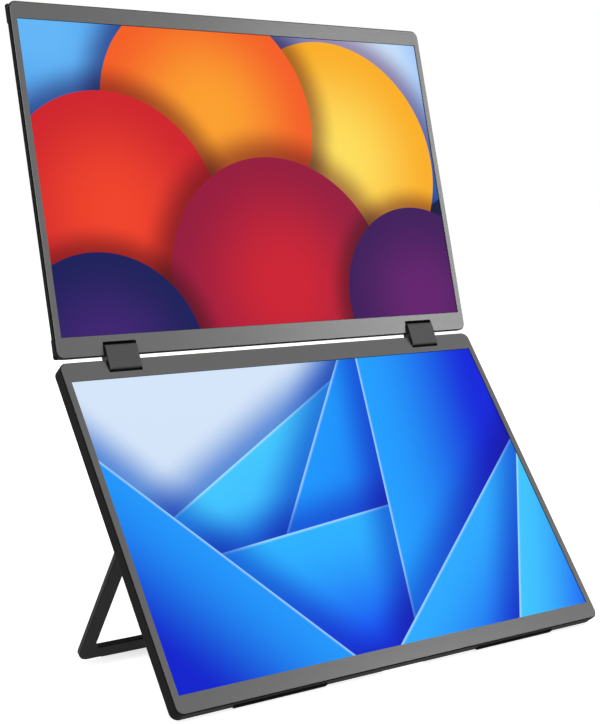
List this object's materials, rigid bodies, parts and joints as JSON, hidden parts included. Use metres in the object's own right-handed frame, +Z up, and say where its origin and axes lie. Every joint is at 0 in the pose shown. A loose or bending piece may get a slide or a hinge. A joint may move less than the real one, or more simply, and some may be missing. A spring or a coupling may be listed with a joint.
{
  "type": "dual portable monitor",
  "caption": "Portable monitor with stacked displays joined by proud hinge blocks, standing on a folding U-shaped kickstand behind the lower display.",
  "frame": {"origin": "on the surface it stands on, under the middle of its bounding box", "axes": "+X across to the viewer's right, -Y towards the viewer, +Z up"},
  "size_m": [0.3571, 0.2152, 0.4388],
  "materials": {
    "shell": "fine matt black",
    "bezel": "satin grey",
    "screen": "smooth lit display face",
    "backlight": "white light guide",
    "board": "solder mask",
    "steel": "plain",
    "hinge": "satin dark grey",
    "stand": "matt black",
    "rubber": "matt",
    "plastic": "moulded"
  },
  "bodies": {
    "lower_display": {"lower_rear_cover": "shell", "lower_front_bezel": "bezel", "lower_screen": "screen", "lower_backlight": "backlight", "lower_driver_board": "board", "main_board": "board", "left_lower_shaft": "steel", "right_lower_shaft": "steel", "left_lower_bracket": "steel", "right_lower_bracket": "steel", "left_stand_bracket": "steel", "right_stand_bracket": "steel", "left_stand_pin": "steel", "right_stand_pin": "steel", "lower_bracket_screws": "steel", "stand_screws": "steel", "board_screws": "steel", "board_shield": "steel", "usb_c_sockets": "steel", "mini_hdmi_socket": "steel", "lower_feet": "rubber", "audio_socket": "plastic", "socket_tongues": "plastic", "button_switches": "plastic", "speakers": "plastic"},
    "hinge_link": {"left_hinge_caps": "shell", "right_hinge_caps": "shell", "left_torque_sleeves": "steel", "right_torque_sleeves": "steel", "left_hinge_block": "hinge", "right_hinge_block": "hinge", "left_hinge_plate": "hinge", "right_hinge_plate": "hinge"},
    "upper_display": {"upper_rear_cover": "shell", "upper_front_bezel": "bezel", "upper_screen": "screen", "upper_backlight": "backlight", "upper_driver_board": "board", "left_upper_shaft": "steel", "right_upper_shaft": "steel", "left_upper_bracket": "steel", "right_upper_bracket": "steel", "upper_bracket_screws": "steel", "upper_corner_pads": "rubber"},
    "kickstand": {"kickstand_frame": "stand", "kickstand_strip": "rubber"},
    "power_button": {"power_button": "plastic"},
    "plus_button": {"plus_button": "plastic"},
    "minus_button": {"minus_button": "plastic"}
  },
  "joints": [
    {"name": "lower_hinge", "type": "hinge", "parent": "lower_display", "child": "hinge_link", "pos_m": [0, 0.03707, 0.19652], "axis": [1, 0, 0], "range_deg": [-10.9, 79.1]},
    {"name": "upper_hinge", "type": "hinge", "parent": "hinge_link", "child": "upper_display", "pos_m": [0, 0.04201, 0.20679], "axis": [1, 0, 0], "range_deg": [-10.9, 79.1]},
    {"name": "kickstand_pivot", "type": "hinge", "parent": "lower_display", "child": "kickstand", "pos_m": [0, -0.02831, 0.09909], "axis": [1, 0, 0], "range_deg": [-70.66, 39.34]},
    {"name": "power_press", "type": "slide", "parent": "lower_display", "child": "power_button", "axis": [-1, 0, 0], "range_m": [0, 0.0005], "stiffness_N_per_m": 1500},
    {"name": "plus_press", "type": "slide", "parent": "lower_display", "child": "plus_button", "axis": [-1, 0, 0], "range_m": [0, 0.0005], "stiffness_N_per_m": 1500},
    {"name": "minus_press", "type": "slide", "parent": "lower_display", "child": "minus_button", "axis": [-1, 0, 0], "range_m": [0, 0.0005], "stiffness_N_per_m": 1500}
  ]
}
